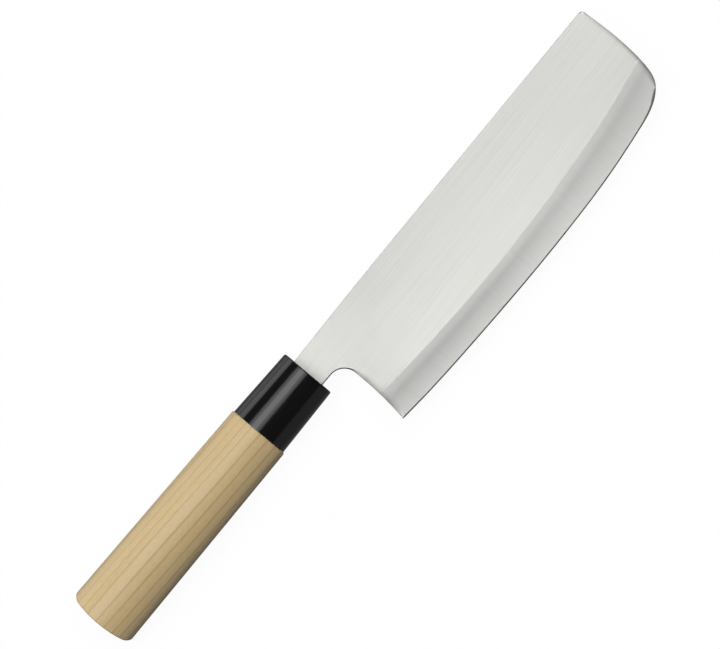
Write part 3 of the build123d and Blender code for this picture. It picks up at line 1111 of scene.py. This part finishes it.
class NAKIRI_OT_handle(bpy.types.Operator):
    """Builds the wooden handle with its tenon, its bore and the domed butt"""

    bl_idname = "nakiri.handle"
    bl_label = "Wooden handle"

    def execute(self, context):
        handle = context.scene.nakiri_handle
        blade = context.scene.nakiri_blade
        tenon_front = -handle.front_wall - handle.tenon_gap
        tenon_inset = handle.ferrule_wall + handle.fit_gap
        bore_end = resin_low.x - FERRULE_FRONT
        bore_half = blade.tang_root_height / 2 + handle.resin_film
        end_half = blade.tang_end_height / 2 + handle.resin_film
        bore_thickness = blade.neck_thickness + 2 * handle.resin_film
        end_thickness = blade.tang_end_thickness + 2 * handle.resin_film
        arris = handle.joint_arris
        joint_height, joint_thickness = wood_size(handle, 0.0)
        loops = [
            slot_loop(bore_end, end_half, end_half, end_thickness),
            slot_loop(tenon_front, bore_half, bore_half, bore_thickness),
            oval_loop(tenon_front, *ferrule_size(handle, tenon_front, tenon_inset)),
            oval_loop(-FERRULE_LENGTH, *ferrule_size(handle, -FERRULE_LENGTH, tenon_inset)),
            oval_loop(-FERRULE_LENGTH, joint_height - 2 * arris, joint_thickness - 2 * arris),
            oval_loop(-FERRULE_LENGTH - arris, joint_height, joint_thickness),
        ]
        rim = handle.butt_arris
        end_height, end_thick = wood_size(handle, 1.0)
        end_y = np.cos(AROUND_ANGLES) * end_height / 2
        end_reach = butt_line(handle, end_y) + rim
        for share in np.linspace(0, 1, 41)[1:]:
            reach = -FERRULE_LENGTH - arris + (end_reach + FERRULE_LENGTH + arris) * share
            length_share = (-reach - FERRULE_LENGTH) / (-BUTT_REACH - FERRULE_LENGTH)
            loops.append(oval_loop(reach, *wood_size(handle, length_share)))
        for angle in np.linspace(0, math.pi / 2, 6)[1:]:
            inset = rim * (1 - math.cos(angle))
            height, thickness = end_height - 2 * inset, end_thick - 2 * inset
            reach = butt_line(handle, np.cos(AROUND_ANGLES) * height / 2) + rim * (1 - math.sin(angle))
            loops.append(oval_loop(reach, height, thickness))
        mesh = loft_mesh("oval_handle", loops, False, (0, 1, 2, 3, 4, 5))
        wood = planed_magnolia(tuple(handle.wood_colour), tuple(handle.growth_colour))
        piece = add_mesh_piece("oval_handle", mesh, [wood], "handle")
        return {"FINISHED"}


class NAKIRI_OT_resin(bpy.types.Operator):
    """Gives the resin round the tang its finish"""

    bl_idname = "nakiri.resin"
    bl_label = "Resin"

    def execute(self, context):
        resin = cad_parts["tang_resin"]
        resin.data.materials.clear()
        resin.data.materials.append(cast_resin(tuple(context.scene.nakiri_handle.resin_colour)))
        return {"FINISHED"}


def pale_floor(colour_value):
    """Matt white card: even white behind the knife, with the knife's soft shadow left in, and painted shade
    on the glow that reflections see.
    """
    material, tree, output = new_material("matt_white_card")
    seen = add_node(tree, "ShaderNodeLightPath")
    # Painted shade: the glow that reflections see fades towards the cutting edge, so the knife's sides
    # mirror a darker card there
    place = add_node(tree, "ShaderNodeTexCoord").outputs["Object"]
    split = add_node(tree, "ShaderNodeSeparateXYZ", inputs={"Vector": place})
    mirrored_shade = add_node(
        tree,
        "ShaderNodeMapRange",
        inputs={
            "Value": split.outputs["Y"],
            "From Min": AXIS_HEIGHT + FADE_START,
            "From Max": AXIS_HEIGHT + FADE_END,
            "To Min": SHADED_MIRRORED_GLOW,
            "To Max": 1.0,
        },
    )
    either = add_node(
        tree,
        "ShaderNodeMath",
        {"operation": "MULTIPLY_ADD"},
        {0: seen.outputs["Is Glossy Ray"], 1: mirrored_shade.outputs["Result"], 2: seen.outputs["Is Camera Ray"]},
    )
    shown = add_node(
        tree,
        "ShaderNodeMath",
        {"operation": "MAXIMUM"},
        {0: either.outputs[0], 1: seen.outputs["Is Transmission Ray"]},
    )
    glow = add_node(tree, "ShaderNodeEmission", inputs={"Color": (*colour_value, 1), "Strength": CARD_GLOW})
    card = add_node(tree, "ShaderNodeBsdfDiffuse", inputs={"Color": CARD_GREY})
    lit = add_node(tree, "ShaderNodeAddShader", inputs={0: glow.outputs[0], 1: card.outputs[0]})
    plain = add_node(tree, "ShaderNodeBsdfDiffuse", inputs={"Color": THROWN_GREY})
    mix = add_node(
        tree,
        "ShaderNodeMixShader",
        inputs={0: shown.outputs[0], 1: plain.outputs[0], 2: lit.outputs[0]},
    )
    tree.links.new(mix.outputs[0], output.inputs["Surface"])
    return material


def add_lamp(name, centre, target, width, depth, radiance):
    """Adds a rectangular lamp that faces a target and looks as bright as its radiance."""
    lamp = bpy.data.lights.new(name, "AREA")
    lamp.shape = "RECTANGLE"
    lamp.size = width
    lamp.size_y = depth
    lamp.energy = radiance * width * depth * math.pi
    holder = bpy.data.objects.new(name, lamp)
    bpy.context.scene.collection.objects.link(holder)
    holder.location = centre
    holder.rotation_euler = (Vector(target) - Vector(centre)).to_track_quat("-Z", "Y").to_euler()


class NAKIRI_OT_stage(bpy.types.Operator):
    """Adds the pale floor, the soft lamps and the camera"""

    bl_idname = "nakiri.stage"
    bl_label = "Stage"

    def execute(self, context):
        stage = context.scene.nakiri_stage
        bm = bmesh.new()
        turns = [2 * math.pi * k / FLOOR_SIDES for k in range(FLOOR_SIDES)]
        corners = [heading(turn) * stage.floor_radius for turn in turns]
        bm.faces.new([bm.verts.new((x, y, handle_low.z)) for x, y in corners])
        mesh = bpy.data.meshes.new("floor")
        bm.to_mesh(mesh)
        bm.free()
        mesh.materials.append(pale_floor(tuple(stage.floor_colour)))
        floor = bpy.data.objects.new("floor", mesh)
        context.scene.collection.objects.link(floor)

        world = bpy.data.worlds.new("dim_room")
        world.use_nodes = True
        background = world.node_tree.nodes["Background"]
        background.inputs["Color"].default_value = (1, 1, 1, 1)
        background.inputs["Strength"].default_value = ROOM_RADIANCE
        context.scene.world = world

        for name, near, far, top, radiance in SOFTBOXES:
            first = math.tan(math.radians(near)) * top
            second = math.tan(math.radians(far)) * top
            centre = Vector((0, (first + second) / 2, top))
            below = centre - Vector((0, 0, 1))
            add_lamp(name, centre, below, SOFTBOX_WIDTH, second - first, radiance)
        for name, distance, middle, width, tall, radiance in UPRIGHT_CARDS:
            add_lamp(name, (0, distance, middle), (0, 0, middle), width, tall, radiance)

        camera_data = bpy.data.cameras.new("camera")
        camera_data.sensor_width = SENSOR_WIDTH
        camera_data.lens = SENSOR_WIDTH * stage.camera_distance / stage.view_width
        camera = bpy.data.objects.new("camera", camera_data)
        context.scene.collection.objects.link(camera)
        camera.location = frame_place(stage.camera_reach, -stage.camera_drop, stage.camera_distance)
        camera.rotation_euler = (0, 0, stage.camera_turn)
        context.scene.camera = camera
        context.scene.view_settings.view_transform = "Standard"
        return {"FINISHED"}


class NAKIRI_PT_sidebar(bpy.types.Panel):
    """Lists the knife's pieces and their settings."""

    bl_idname = "NAKIRI_PT_sidebar"
    bl_label = "Nakiri Knife"
    bl_space_type = "VIEW_3D"
    bl_region_type = "UI"
    bl_category = "Knife"

    def draw(self, context):
        for operator in OPERATORS:
            self.layout.operator(operator.bl_idname)
        for name, group in SETTINGS.items():
            column = self.layout.column()
            for key in group.__annotations__:
                column.prop(getattr(context.scene, name), key)


OPERATORS = (NAKIRI_OT_blade, NAKIRI_OT_ferrule, NAKIRI_OT_handle, NAKIRI_OT_resin, NAKIRI_OT_stage)
SETTINGS = {
    "nakiri_blade": BladeSettings,
    "nakiri_handle": HandleSettings,
    "nakiri_stage": StageSettings,
}


def register():
    """Registers the settings, the operators and the panel."""
    for name, group in SETTINGS.items():
        bpy.utils.register_class(group)
        setattr(bpy.types.Scene, name, PointerProperty(type=group))
    for operator in OPERATORS:
        bpy.utils.register_class(operator)
    bpy.utils.register_class(NAKIRI_PT_sidebar)


def unregister():
    """Takes away all that register added."""
    bpy.utils.unregister_class(NAKIRI_PT_sidebar)
    for operator in reversed(OPERATORS):
        bpy.utils.unregister_class(operator)
    for name, group in SETTINGS.items():
        delattr(bpy.types.Scene, name)
        bpy.utils.unregister_class(group)


def main():
    """Builds the knife and its stage."""
    register()
    bpy.ops.nakiri.blade()
    bpy.ops.nakiri.ferrule()
    bpy.ops.nakiri.handle()
    bpy.ops.nakiri.resin()
    bpy.ops.nakiri.stage()


if __name__ == "__main__":
    main()
